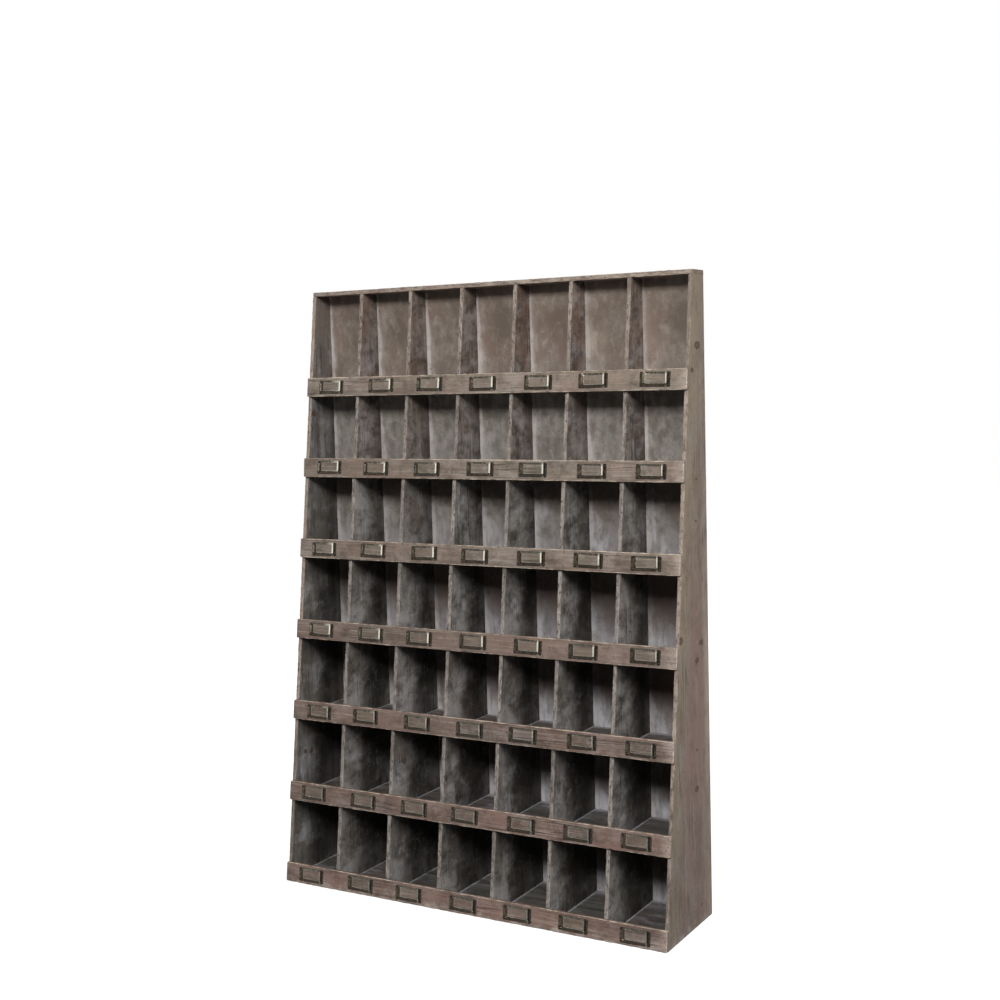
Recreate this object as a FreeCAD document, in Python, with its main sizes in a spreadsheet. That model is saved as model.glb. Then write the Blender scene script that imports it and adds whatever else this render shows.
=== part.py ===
import FreeCAD, Part
import math
import os
import Sketcher

# A free-standing pigeonhole mail sorter in thin softwood boards. Two raking sides carry six full
# shelves and a base board; six full-height dividers cross the shelves in halved joints, and a
# lip rail nailed across the raking front of every row keeps the post in and carries a pressed
# metal card holder for each cell.
# Frame: millimetres, +Z up, -Y the open front, origin on the floor in the middle of the width
# and of the sides' depth.

COLUMNS = 7
ROWS = 7

DRIVING_SIZES = {
    "cell_width": ("130.5", "clear width of one pigeonhole"),
    "row_pitch": ("191.5", "from the underside of one shelf to the next"),
    "top_opening": ("231", "clear height of the top row"),
    "base_depth": ("241", "depth of a side at the floor"),
    "top_depth": ("59", "depth of the top board at its upper face"),
    "upright_thickness": ("9", "thickness of the sides and dividers"),
    "shelf_thickness": ("10", "thickness of the base, shelves and top"),
    "back_thickness": ("5", "thickness of the back panel"),
    "back_lap": ("4.5", "how far the back panel reaches into each side's rebate"),
    "housing_depth": ("3", "depth of the housings that take board ends"),
    "joint_play": ("0.3", "extra width of a slot or housing over its board"),
    "edge_easing": ("1", "rounding of the outer arrises of the sides and top"),
    "rail_height": ("45.5", "height of a lip rail up the rake"),
    "rail_thickness": ("8.5", "thickness of a lip rail"),
    "rail_easing": ("1.2", "rounding of a rail's front arrises"),
    "brad_length": ("28", "length of a brad"),
    "brad_broad": ("2", "broad side of a brad's wire"),
    "brad_narrow": ("1.2", "narrow side of a brad's wire"),
    "brad_margin": ("25", "from a board's edge to the nearest brad"),
    "holder_width": ("70", "card holder over its flanges"),
    "holder_height": ("32", "card holder from bottom to top"),
    "holder_sheet": ("0.8", "thickness of the holder's metal"),
    "holder_rise": ("2.6", "how far the holder's moulding stands off the rail"),
    "holder_bevel": ("1.3", "bevel round the moulding's outside"),
    "flange_width": ("7.5", "flat flange each side of the moulding"),
    "window_width": ("41", "width of the holder's window"),
    "window_sill": ("7", "height of the window's sill"),
    "strip_height": ("5", "height of the flat strip that ties the holder's top"),
    "card_lap": ("3", "how far the card goes behind the moulding"),
    "card_gap": ("1", "thickness of the slot for the card"),
    "holder_drift": ("3", "how far hand fixing puts a holder off its place"),
}

doc = FreeCAD.newDocument("PigeonholeSorter")
sheet = doc.addObject("Spreadsheet::Sheet", "sizes")
for line_number, (alias, (number, meaning)) in enumerate(DRIVING_SIZES.items(), start=1):
    sheet.set(f"A{line_number}", meaning)
    sheet.set(f"B{line_number}", number)
    sheet.setAlias(f"B{line_number}", alias)
doc.recompute()

# Places that several boards share, as expressions in the sheet's aliases.
CELL_PITCH = "(sizes.cell_width + sizes.upright_thickness)"
INNER_WIDTH = f"({COLUMNS} * {CELL_PITCH} - sizes.upright_thickness)"
WIDTH = f"({INNER_WIDTH} + 2 * sizes.upright_thickness)"
HEIGHT = f"({ROWS - 1} * sizes.row_pitch + sizes.top_opening + 2 * sizes.shelf_thickness)"
UNDER_TOP = f"({HEIGHT} - sizes.shelf_thickness)"
SLOPE = f"((sizes.base_depth - sizes.top_depth) / {HEIGHT})"
LEAN = f"atan({SLOPE})"
BACK = "(sizes.base_depth / 2)"
BACK_SEAT = f"({BACK} - sizes.back_thickness)"
SLOT_WIDTH = "(sizes.upright_thickness + sizes.joint_play)"
FIRST_UPRIGHT = f"({CELL_PITCH} * {-COLUMNS / 2})"
FIRST_DIVIDER = f"({FIRST_UPRIGHT} + {CELL_PITCH})"
ROWS_WITH_BACK_BRADS = range(0, ROWS, 2)


def shelf_level(row):
    """Height of the underside of a shelf; row 0 is the base board."""
    return f"({row} * sizes.row_pitch)"


def front_at(level):
    """Where the raking front lies at a height."""
    return f"({SLOPE} * {level} - {BACK})"


def halving_at(row):
    """The line at which a shelf's notches meet the dividers' slots: the middle of the shelf."""
    return f"(({front_at(shelf_level(row))} + {BACK_SEAT}) / 2)"


def value_of(expression):
    return float(sheet.evalExpression(expression))


def new_body(name):
    body = doc.addObject("PartDesign::Body", name)
    body.Label = name
    return body


def origin_item(body, role):
    """One of a body's own origin planes or axes."""
    return next(item for item in body.Origin.OriginFeatures if item.Role == role)


def new_sketch(body, name, role, outlines, raised_to=None):
    """A sketch on an origin plane, with closed outlines whose corners are pairs of expressions."""
    sketch = body.newObject("Sketcher::SketchObject", f"{body.Name}_{name}_sketch")
    sketch.AttachmentSupport = [(origin_item(body, role), "")]
    sketch.MapMode = "FlatFace"
    if raised_to is not None:
        sketch.setExpression("AttachmentOffset.Base.z", raised_to)
    for corners in outlines:
        first_line = sketch.GeometryCount
        points = [FreeCAD.Vector(value_of(across), value_of(up), 0) for across, up in corners]
        for start, end in zip(points, points[1:] + points[:1]):
            sketch.addGeometry(Part.LineSegment(start, end))
        for index, (across, up) in enumerate(corners):
            line = first_line + index
            next_line = first_line + (index + 1) % len(corners)
            sketch.addConstraint(Sketcher.Constraint("Coincident", line, 2, next_line, 1))
            for direction, expression in (("DistanceX", across), ("DistanceY", up)):
                place = Sketcher.Constraint(direction, -1, 1, line, 1, value_of(expression))
                number = sketch.addConstraint(place)
                sketch.setExpression(f"Constraints[{number}]", expression)
    return sketch


def rectangle(left, right, bottom, top):
    return [(left, bottom), (right, bottom), (right, top), (left, top)]


def centred_rectangle(across, up, width, height):
    return rectangle(
        f"{across} - {width} / 2",
        f"{across} + {width} / 2",
        f"{up} - {height} / 2",
        f"{up} + {height} / 2",
    )


def add_pad(body, name, sketch, length):
    """Material to both sides of a sketch, half the length each way."""
    pad = body.newObject("PartDesign::Pad", f"{body.Name}_{name}")
    pad.Profile = sketch
    pad.SideType = "Symmetric"
    pad.setExpression("Length", length)
    doc.recompute()
    return pad


def add_pocket(body, name, sketch, length=None):
    """A cut to both sides of a sketch, right through unless it has a length."""
    volume_before = body.Shape.Volume
    pocket = body.newObject("PartDesign::Pocket", f"{body.Name}_{name}")
    pocket.Profile = sketch
    pocket.SideType = "Symmetric"
    if length is None:
        pocket.Type = "ThroughAll"
    else:
        pocket.setExpression("Length", length)
    doc.recompute()
    if body.Shape.Volume >= volume_before:
        raise RuntimeError(f"{pocket.Name} cuts nothing")
    return pocket


def add_row(body, feature, role, spacing, count):
    """Repeats a feature along one of the body's axes."""
    pattern = body.newObject("PartDesign::LinearPattern", f"{feature.Name}_row")
    pattern.Originals = [feature]
    pattern.Direction = (origin_item(body, role), [""])
    pattern.Mode = "Spacing"
    pattern.setExpression("Offset", spacing)
    pattern.Occurrences = count
    body.Tip = pattern
    doc.recompute()
    return pattern


def add_mirror(body, feature):
    """Repeats a feature on the other side of the body's middle."""
    mirror = body.newObject("PartDesign::Mirrored", f"{feature.Name}_mirror")
    mirror.Originals = [feature]
    mirror.MirrorPlane = (origin_item(body, "YZ_Plane"), [""])
    body.Tip = mirror
    doc.recompute()
    return mirror


def ease_edges(body, base, radius, chosen):
    """Rounds the edges of a feature that a test picks out."""
    names = [f"Edge{n}" for n, edge in enumerate(base.Shape.Edges, start=1) if chosen(edge)]
    fillet = body.newObject("PartDesign::Fillet", f"{body.Name}_arrises")
    fillet.Base = (base, names)
    fillet.setExpression("Radius", radius)
    doc.recompute()
    return fillet


def all_at(edge, axis, place):
    """True if a whole edge lies at one place along an axis."""
    return all(abs(getattr(vertex.Point, axis) - place) < 0.001 for vertex in edge.Vertexes)


# Brads are plain rectangular wire, driven flush; each board has a hole of the wire's own section.

def rail_brad_outline(row):
    """A rail's brad in side view, square to the rake at the middle of the rail's height."""
    level = shelf_level(row)
    middle_y = f"({front_at(level)} + sin({LEAN}) * sizes.rail_height / 2)"
    middle_z = f"({level} + cos({LEAN}) * sizes.rail_height / 2)"
    corners = []
    for inwards, up in (
        ("-sizes.rail_thickness", "-sizes.brad_broad / 2"),
        ("(sizes.brad_length - sizes.rail_thickness)", "-sizes.brad_broad / 2"),
        ("(sizes.brad_length - sizes.rail_thickness)", "sizes.brad_broad / 2"),
        ("-sizes.rail_thickness", "sizes.brad_broad / 2"),
    ):
        corners.append((
            f"{middle_y} + cos({LEAN}) * ({inwards}) + sin({LEAN}) * ({up})",
            f"{middle_z} - sin({LEAN}) * ({inwards}) + cos({LEAN}) * ({up})",
        ))
    return corners


def side_brad_ends(row, level):
    """The ends of the two brads that hold one end of a shelf, seen square to the side."""
    front = f"({front_at(shelf_level(row))} + sizes.brad_margin)"
    back = f"({BACK_SEAT} - sizes.brad_margin)"
    middle = f"({level} + sizes.shelf_thickness / 2)"
    return [
        centred_rectangle(y, middle, "sizes.brad_broad", "sizes.brad_narrow")
        for y in (front, back)
    ]


def top_brad_end(x):
    """The end of a brad in the top, over an upright."""
    middle_y = f"(({front_at(HEIGHT)} + {BACK_SEAT}) / 2)"
    return centred_rectangle(x, middle_y, "sizes.brad_narrow", "sizes.brad_broad")


def back_brad_ends(x):
    """The ends of the brads in the back panel behind one upright, halfway up every other row."""
    return [
        centred_rectangle(
            x,
            f"({shelf_level(row)} + sizes.row_pitch / 2)",
            "sizes.brad_narrow",
            "sizes.brad_broad",
        )
        for row in ROWS_WITH_BACK_BRADS
    ]


def cut_upright_for_brads(body, middle_x, back_x):
    """The blind holes in an upright for the rails', the top's and the back panel's brads."""
    fronts = new_sketch(
        body, "rail_brads", "YZ_Plane", [rail_brad_outline(row) for row in range(ROWS)], middle_x,
    )
    add_pocket(body, "rail_brad_holes", fronts, "sizes.brad_narrow")
    top = new_sketch(body, "top_brad", "XY_Plane", [top_brad_end(middle_x)], UNDER_TOP)
    add_pocket(body, "top_brad_hole", top, "2 * (sizes.brad_length - sizes.shelf_thickness)")
    backs = new_sketch(body, "back_brads", "XZ_Plane", back_brad_ends(back_x), f"-{BACK_SEAT}")
    add_pocket(body, "back_brad_holes", backs, "2 * (sizes.brad_length - sizes.back_thickness)")


def side(name, inward):
    """A raking side: outer face at its own x = 0, boards housed in the inner face."""
    body = new_body(name)
    middle = f"({inward} * sizes.upright_thickness / 2)"
    inner = f"({inward} * sizes.upright_thickness)"
    profile = new_sketch(body, "profile", "YZ_Plane", [[
        (front_at("0"), "0"),
        (BACK, "0"),
        (BACK, UNDER_TOP),
        (front_at(UNDER_TOP), UNDER_TOP),
    ]], middle)
    board = add_pad(body, "board", profile, "sizes.upright_thickness")
    ease_edges(
        body, board, "sizes.edge_easing",
        lambda edge: all_at(edge, "x", 0) and edge.BoundBox.ZLength > edge.BoundBox.YLength,
    )
    housing = new_sketch(body, "housing", "XZ_Plane", [rectangle(
        f"{inward} * (sizes.upright_thickness - sizes.housing_depth)",
        inner,
        "-sizes.joint_play / 2",
        "sizes.shelf_thickness + sizes.joint_play / 2",
    )])
    first_housing = add_pocket(body, "housing", housing)
    add_row(body, first_housing, "Z_Axis", "sizes.row_pitch", ROWS)
    rebate = new_sketch(body, "rebate", "XY_Plane", [rectangle(
        f"{inward} * (sizes.upright_thickness - sizes.back_lap)",
        inner,
        BACK_SEAT,
        BACK,
    )])
    add_pocket(body, "back_rebate", rebate)
    shelf_brads = [
        outline for row in range(ROWS) for outline in side_brad_ends(row, shelf_level(row))
    ]
    through = new_sketch(body, "side_brads", "YZ_Plane", shelf_brads)
    add_pocket(body, "side_brad_holes", through)
    cut_upright_for_brads(body, middle, f"({inner} - {inward} * sizes.back_lap / 2)")
    body.setExpression("Placement.Base.x", f"-{inward} * {WIDTH} / 2")
    return body


def new_crossboard(name, row):
    """A shelf or the base, front edge planed to the rake, before it is cut for the dividers."""
    body = new_body(name)
    level = shelf_level(row)
    section = new_sketch(body, "section", "YZ_Plane", [[
        (front_at(level), "0"),
        (BACK_SEAT, "0"),
        (BACK_SEAT, "sizes.shelf_thickness"),
        (front_at(f"({level} + sizes.shelf_thickness)"), "sizes.shelf_thickness"),
    ]])
    length = f"({INNER_WIDTH} + 2 * sizes.housing_depth)"
    add_pad(body, "board", section, length)
    brads = new_sketch(body, "brads", "YZ_Plane", side_brad_ends(row, "0"), f"{length} / 2")
    in_board = "(sizes.brad_length - sizes.upright_thickness + sizes.housing_depth)"
    right_holes = add_pocket(body, "brad_holes", brads, f"2 * {in_board}")
    add_mirror(body, right_holes)
    body.setExpression("Placement.Base.z", level)
    return body


def base_board():
    """The base, grooved from front to back for the dividers' feet."""
    body = new_crossboard("base_board", 0)
    groove = new_sketch(body, "groove", "XZ_Plane", [rectangle(
        f"{FIRST_DIVIDER} - {SLOT_WIDTH} / 2",
        f"{FIRST_DIVIDER} + {SLOT_WIDTH} / 2",
        "sizes.shelf_thickness - sizes.housing_depth",
        "sizes.shelf_thickness",
    )])
    first_groove = add_pocket(body, "groove", groove)
    add_row(body, first_groove, "X_Axis", CELL_PITCH, COLUMNS - 1)
    return body


def shelf(row):
    """A full shelf, notched from the back to its middle for each divider."""
    body = new_crossboard(f"shelf_{row}", row)
    notch = new_sketch(body, "notch", "XY_Plane", [rectangle(
        f"{FIRST_DIVIDER} - {SLOT_WIDTH} / 2",
        f"{FIRST_DIVIDER} + {SLOT_WIDTH} / 2",
        halving_at(row),
        BACK_SEAT,
    )])
    first_notch = add_pocket(body, "notch", notch)
    add_row(body, first_notch, "X_Axis", CELL_PITCH, COLUMNS - 1)
    return body


def top_board():
    """The top laps both sides and the back panel; its ends and front edge show."""
    body = new_body("top_board")
    section = new_sketch(body, "section", "YZ_Plane", [[
        (front_at(UNDER_TOP), "0"),
        (BACK, "0"),
        (BACK, "sizes.shelf_thickness"),
        (front_at(HEIGHT), "sizes.shelf_thickness"),
    ]])
    board = add_pad(body, "board", section, WIDTH)
    upper = value_of("sizes.shelf_thickness")
    ease_edges(body, board, "sizes.edge_easing", lambda edge: all_at(edge, "z", upper))
    brad = new_sketch(body, "brad", "XY_Plane", [top_brad_end(FIRST_UPRIGHT)])
    first_hole = add_pocket(body, "brad_hole", brad)
    add_row(body, first_hole, "X_Axis", CELL_PITCH, COLUMNS + 1)
    body.setExpression("Placement.Base.z", UNDER_TOP)
    return body


def divider(number):
    """A full-height divider, slotted from the front to each shelf's middle."""
    body = new_body(f"divider_{number}")
    foot = "(sizes.shelf_thickness - sizes.housing_depth)"
    profile = new_sketch(body, "profile", "YZ_Plane", [[
        (front_at(foot), foot),
        (BACK_SEAT, foot),
        (BACK_SEAT, UNDER_TOP),
        (front_at(UNDER_TOP), UNDER_TOP),
    ]])
    add_pad(body, "board", profile, "sizes.upright_thickness")
    slots = new_sketch(body, "slots", "YZ_Plane", [
        rectangle(
            f"{front_at(shelf_level(row))} - sizes.shelf_thickness",
            halving_at(row),
            f"{shelf_level(row)} - sizes.joint_play / 2",
            f"{shelf_level(row)} + sizes.shelf_thickness + sizes.joint_play / 2",
        )
        for row in range(1, ROWS)
    ])
    add_pocket(body, "halvings", slots)
    cut_upright_for_brads(body, "0", "0")
    body.setExpression("Placement.Base.x", f"{FIRST_DIVIDER} + {number - 1} * {CELL_PITCH}")
    return body


def back_panel():
    """One thin sheet behind everything, lapped into the sides' rebates and under the top."""
    body = new_body("back_panel")
    half_width = f"(({INNER_WIDTH} - sizes.joint_play) / 2 + sizes.back_lap)"
    outline = new_sketch(body, "outline", "XZ_Plane", [
        rectangle(f"-{half_width}", half_width, "0", UNDER_TOP),
    ], f"sizes.back_thickness / 2 - {BACK}")
    add_pad(body, "sheet", outline, "sizes.back_thickness")
    dividers_brads = new_sketch(body, "brads", "XZ_Plane", back_brad_ends(FIRST_DIVIDER))
    first_holes = add_pocket(body, "brad_holes", dividers_brads)
    add_row(body, first_holes, "X_Axis", CELL_PITCH, COLUMNS - 1)
    edge_x = f"(({INNER_WIDTH} + sizes.back_lap) / 2)"
    edge_brads = new_sketch(body, "edge_brads", "XZ_Plane", back_brad_ends(edge_x))
    add_mirror(body, add_pocket(body, "edge_brad_holes", edge_brads))
    return body


def lay_on_rake(item, level):
    """Stands an item's own x-z plane on the raking front, its origin at a height."""
    item.Placement = FreeCAD.Placement(
        FreeCAD.Vector(0, 0, 0),
        FreeCAD.Rotation(FreeCAD.Vector(-1, 0, 0), 1),
    )
    item.setExpression("Placement.Rotation.Angle", LEAN)
    item.setExpression("Placement.Base.y", front_at(level))
    item.setExpression("Placement.Base.z", level)


def rail(row):
    """A lip rail over the edges of the sides, dividers and shelf, its front arrises rounded."""
    body = new_body(f"rail_{ROWS - row}")
    section = new_sketch(body, "section", "YZ_Plane", [rectangle(
        "-sizes.rail_thickness",
        "0",
        "0",
        "sizes.rail_height",
    )])
    board = add_pad(body, "board", section, WIDTH)
    front = -value_of("sizes.rail_thickness")
    ease_edges(body, board, "sizes.rail_easing", lambda edge: all_at(edge, "y", front))
    brad = new_sketch(body, "brad", "XZ_Plane", [centred_rectangle(
        FIRST_UPRIGHT,
        "sizes.rail_height / 2",
        "sizes.brad_narrow",
        "sizes.brad_broad",
    )])
    first_hole = add_pocket(body, "brad_hole", brad)
    add_row(body, first_hole, "X_Axis", CELL_PITCH, COLUMNS + 1)
    lay_on_rake(body, shelf_level(row))
    return body


def rail_brads():
    """Eight brads through every rail, one into the front edge of each upright."""
    body = new_body("rail_brads")
    outlines = [rail_brad_outline(row) for row in range(ROWS)]
    column = new_sketch(body, "column", "YZ_Plane", outlines, FIRST_UPRIGHT)
    wires = add_pad(body, "wires", column, "sizes.brad_narrow")
    add_row(body, wires, "X_Axis", CELL_PITCH, COLUMNS + 1)
    return body


def side_brads():
    """Two brads through each side into every shelf and the base."""
    body = new_body("side_brads")
    outlines = [
        outline for row in range(ROWS) for outline in side_brad_ends(row, shelf_level(row))
    ]
    ends = new_sketch(body, "ends", "YZ_Plane", outlines, f"({WIDTH} - sizes.brad_length) / 2")
    add_mirror(body, add_pad(body, "wires", ends, "sizes.brad_length"))
    return body


def top_brads():
    """A brad down through the top into each upright."""
    body = new_body("top_brads")
    middle_z = f"{HEIGHT} - sizes.brad_length / 2"
    end = new_sketch(body, "end", "XY_Plane", [top_brad_end(FIRST_UPRIGHT)], middle_z)
    first_wire = add_pad(body, "wire", end, "sizes.brad_length")
    add_row(body, first_wire, "X_Axis", CELL_PITCH, COLUMNS + 1)
    return body


def back_brads():
    """Brads through the back panel into the back edges of the dividers and sides."""
    body = new_body("back_brads")
    middle_y = f"sizes.brad_length / 2 - {BACK}"
    ends = new_sketch(body, "ends", "XZ_Plane", back_brad_ends(FIRST_DIVIDER), middle_y)
    wires = add_pad(body, "wires", ends, "sizes.brad_length")
    add_row(body, wires, "X_Axis", CELL_PITCH, COLUMNS - 1)
    edge_x = f"(({INNER_WIDTH} + sizes.back_lap) / 2)"
    edge_ends = new_sketch(body, "edge_ends", "XZ_Plane", back_brad_ends(edge_x), middle_y)
    add_mirror(body, add_pad(body, "edge_wires", edge_ends, "sizes.brad_length"))
    return body


def card_holder():
    """The pressed card holder: its back on its own y = 0, its bottom edge on z = 0."""
    body = new_body("card_holder_pattern")
    half_width = "sizes.holder_width / 2"
    half_frame = "(sizes.holder_width / 2 - sizes.flange_width)"
    half_window = "sizes.window_width / 2"
    half_card = "(sizes.window_width / 2 + sizes.card_lap)"
    strip_level = "sizes.holder_height - sizes.strip_height"
    card_foot = "(sizes.window_sill - sizes.card_lap)"

    plate = new_sketch(body, "plate", "XZ_Plane", [
        rectangle(f"-{half_width}", half_width, "0", "sizes.holder_height"),
    ], "sizes.holder_sheet / 2")
    add_pad(body, "plate", plate, "sizes.holder_sheet")
    frame = new_sketch(body, "moulding", "XZ_Plane", [
        rectangle(f"-{half_frame}", half_frame, "0", "sizes.holder_height"),
    ], "sizes.holder_rise / 2")
    moulding = add_pad(body, "moulding", frame, "sizes.holder_rise")
    front = -value_of("sizes.holder_rise")
    top = value_of("sizes.holder_height")
    bevel = body.newObject("PartDesign::Chamfer", "card_holder_bevel")
    bevel.Base = (moulding, [
        f"Edge{n}" for n, edge in enumerate(moulding.Shape.Edges, start=1)
        if all_at(edge, "y", front) and not all_at(edge, "z", top)
    ])
    bevel.setExpression("Size", "sizes.holder_bevel")
    doc.recompute()
    window = new_sketch(body, "window", "XZ_Plane", [
        rectangle(f"-{half_window}", half_window, "sizes.window_sill", strip_level),
    ])
    add_pocket(body, "window", window)
    mouth = new_sketch(body, "mouth", "XY_Plane", [rectangle(
        f"-{half_window}",
        half_window,
        "-sizes.holder_rise",
        "-sizes.holder_sheet",
    )], f"{strip_level} + sizes.strip_height / 2")
    add_pocket(body, "mouth", mouth, "sizes.strip_height")
    card = new_sketch(body, "card_slot", "XY_Plane", [rectangle(
        f"-{half_card}",
        half_card,
        "-sizes.holder_sheet - sizes.card_gap",
        "-sizes.holder_sheet",
    )], f"({card_foot} + sizes.holder_height) / 2")
    add_pocket(body, "card_slot", card, f"sizes.holder_height - {card_foot}")
    return body


def holder_row(row, pattern):
    """The card holders of one rail, each a little off its place where it was nailed by hand."""
    drift = value_of("sizes.holder_drift")
    seat = (value_of("sizes.rail_height") - value_of("sizes.holder_height")) / 2
    placed = []
    for column in range(COLUMNS):
        middle = (column - (COLUMNS - 1) / 2) * value_of(CELL_PITCH)
        wander = math.sin(2.3 * column + 4.1 * row)
        lift = math.sin(1.7 * column + 2.9 * row) / 3
        place = FreeCAD.Vector(
            middle + drift * wander,
            -value_of("sizes.rail_thickness"),
            seat + drift * lift,
        )
        copy = pattern.Shape.copy()
        copy.translate(place)
        placed.append(copy)
    holders = doc.addObject("Part::Feature", f"label_holders_row_{ROWS - row}")
    holders.Label = holders.Name
    holders.Shape = Part.makeCompound(placed)
    lay_on_rake(holders, shelf_level(row))
    return holders


pattern_holder = card_holder()
sub_parts = [
    side("left_side", 1),
    side("right_side", -1),
    base_board(),
    top_board(),
    back_panel(),
]
sub_parts += [shelf(row) for row in range(1, ROWS)]
sub_parts += [divider(number) for number in range(1, COLUMNS)]
sub_parts += [rail(row) for row in range(ROWS)]
sub_parts += [rail_brads(), side_brads(), top_brads(), back_brads()]
sub_parts += [holder_row(row, pattern_holder) for row in range(ROWS)]
doc.recompute()

for item in doc.Objects:
    if "Invalid" in item.State or "Error" in item.State:
        raise RuntimeError(f"{item.Name} failed: {item.State}")
for item in sub_parts:
    if item.Shape.isNull() or not item.Shape.isValid():
        raise RuntimeError(f"{item.Label} has no valid shape")

os.makedirs("parts", exist_ok=True)
for item in sub_parts:
    item.Shape.exportStep(os.path.join("parts", f"{item.Label}.step"))
    print(f"{item.Label}: {len(item.Shape.Solids)} solids, {item.Shape.Volume / 1000:.1f} cm3")
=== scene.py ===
"""A pigeonhole mail sorter in washed softwood with pressed metal card holders."""

import functools
import math

import bmesh
import bpy
from mathutils import Matrix, Vector


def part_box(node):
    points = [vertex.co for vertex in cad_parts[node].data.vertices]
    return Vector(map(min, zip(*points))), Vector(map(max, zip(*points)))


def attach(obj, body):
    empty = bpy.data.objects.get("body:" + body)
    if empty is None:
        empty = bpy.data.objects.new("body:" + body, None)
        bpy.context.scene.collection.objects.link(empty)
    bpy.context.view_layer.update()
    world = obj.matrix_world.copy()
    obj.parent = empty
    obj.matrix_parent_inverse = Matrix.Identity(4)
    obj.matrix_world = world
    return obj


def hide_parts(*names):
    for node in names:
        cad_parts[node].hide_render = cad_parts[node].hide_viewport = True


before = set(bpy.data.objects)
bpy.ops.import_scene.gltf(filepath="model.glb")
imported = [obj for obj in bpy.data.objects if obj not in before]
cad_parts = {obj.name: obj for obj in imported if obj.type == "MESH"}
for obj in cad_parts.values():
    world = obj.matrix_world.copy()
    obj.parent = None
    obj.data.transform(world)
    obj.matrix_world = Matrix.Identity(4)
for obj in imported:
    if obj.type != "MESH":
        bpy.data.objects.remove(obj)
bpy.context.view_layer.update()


# ------------------------------------------------
# The two sides
# Softwood boards cut to a rake, grain upright, housed for the shelves and
# rebated for the back. Their brown wash is rubbed off along the front arrises.

MM = 0.001
SIDE_LOW, SIDE_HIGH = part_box("right_side")
RAKE = (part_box("top_board")[0].y - SIDE_LOW.y) / SIDE_HIGH.z
LEAN = math.atan(RAKE)
ACROSS_RAKE = (0, -math.cos(LEAN), math.sin(LEAN))
LOOP_SPACING = 5 * MM
SHARP = math.radians(40)
WOOD_GLOSS = 0.2


def behind_rake(place):
    """How far a point lies behind the raking front, square to it."""
    return (place.y - SIDE_LOW.y - RAKE * place.z) * math.cos(LEAN)


def select_only(piece):
    bpy.ops.object.select_all(action="DESELECT")
    piece.select_set(True)
    bpy.context.view_layer.objects.active = piece


def new_piece(name, mesh):
    piece = bpy.data.objects.new(name, mesh)
    bpy.context.collection.objects.link(piece)
    select_only(piece)
    return piece


def apply_placing():
    """Puts the active piece's place, turn and scale into its mesh."""
    bpy.ops.object.transform_apply(location=True, rotation=True, scale=True)


def select_parts(piece, kind, chosen):
    """Opens a piece for editing, with only the corners, edges or faces that a test picks."""
    select_only(piece)
    bpy.ops.object.mode_set(mode="EDIT")
    bpy.ops.mesh.select_mode(type=kind)
    bpy.ops.mesh.select_all(action="DESELECT")
    skin = bmesh.from_edit_mesh(piece.data)
    for part in {"VERT": skin.verts, "EDGE": skin.edges, "FACE": skin.faces}[kind]:
        part.select_set(chosen(part))
    bmesh.update_edit_mesh(piece.data)


def copy_of_solid(name, node):
    """A new piece with a node's shape: one merged skin with whole faces."""
    piece = new_piece(name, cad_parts[node].data.copy())
    piece.data.materials.clear()
    bpy.ops.mesh.customdata_custom_splitnormals_clear()
    bpy.ops.object.mode_set(mode="EDIT")
    bpy.ops.mesh.select_all(action="SELECT")
    bpy.ops.mesh.remove_doubles(threshold=0.01 * MM)
    bpy.ops.mesh.dissolve_limited(angle_limit=math.radians(0.5))
    bpy.ops.object.mode_set(mode="OBJECT")
    return piece


def bevel_edges(piece, chosen, width, segments):
    """Rounds the sharp edges that a test picks out by their two ends."""
    select_parts(piece, "EDGE", lambda edge: (
        edge.calc_face_angle(0) > SHARP and chosen(edge.verts[0].co, edge.verts[1].co)
    ))
    bpy.ops.mesh.bevel(offset=width, segments=segments, profile=0.5, affect="EDGES")
    bpy.ops.object.mode_set(mode="OBJECT")


def cross_cut(piece, places, direction):
    """Lays edge loops round a board where planes square to a direction cut it."""
    select_only(piece)
    bpy.ops.object.mode_set(mode="EDIT")
    for place in places:
        bpy.ops.mesh.select_all(action="SELECT")
        bpy.ops.mesh.bisect(plane_co=place, plane_no=direction)
    bpy.ops.object.mode_set(mode="OBJECT")


def spaced(low, high, axis):
    """Points evenly along an axis, for the loops of a board."""
    count = int((high - low) / LOOP_SPACING)
    return [axis * (low + LOOP_SPACING * (index + 0.5)) for index in range(count)]


def clamped(share):
    return max(0.0, min(1.0, share))


def near_arris(reach, *distances):
    """1 where two of a board's faces meet, 0 where the second nearest is out of reach."""
    return clamped(1 - sorted(distances)[1] / reach)


def wear_and_light_of(piece, share_at):
    return [share_at(corner.co) for corner in piece.data.vertices]


def keep_wear_and_light(piece, shares):
    """Keeps how far each corner of a piece is rubbed, for its finish; on the card holders it also
    keeps where highlights, reflection and shade are painted.
    """
    piece.data.attributes.new("rubbed", "FLOAT", "POINT").data.foreach_set("value", shares)


def rub_arrises(piece, shares, depth, knock_size):
    """Wears a board where hands and post have rubbed it, and keeps the wear for its finish."""
    group = piece.vertex_groups.new(name="wear")
    for index, share in enumerate(shares):
        if share > 0:
            group.add([index], share, "REPLACE")
    knocks = bpy.data.textures.new(f"{piece.name}_knocks", "CLOUDS")
    knocks.noise_scale = knock_size
    knocks.noise_depth = 3
    knocks.contrast = 2.6
    knocks.intensity = 1.12
    wear = piece.modifiers.new("wear", "DISPLACE")
    wear.texture = knocks
    wear.vertex_group = group.name
    wear.mid_level = 1.0
    wear.strength = depth
    select_only(piece)
    bpy.ops.object.modifier_apply(modifier="wear")
    piece.vertex_groups.clear()
    keep_wear_and_light(piece, shares)
    bpy.ops.object.shade_smooth_by_angle(angle=math.radians(32))


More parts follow.
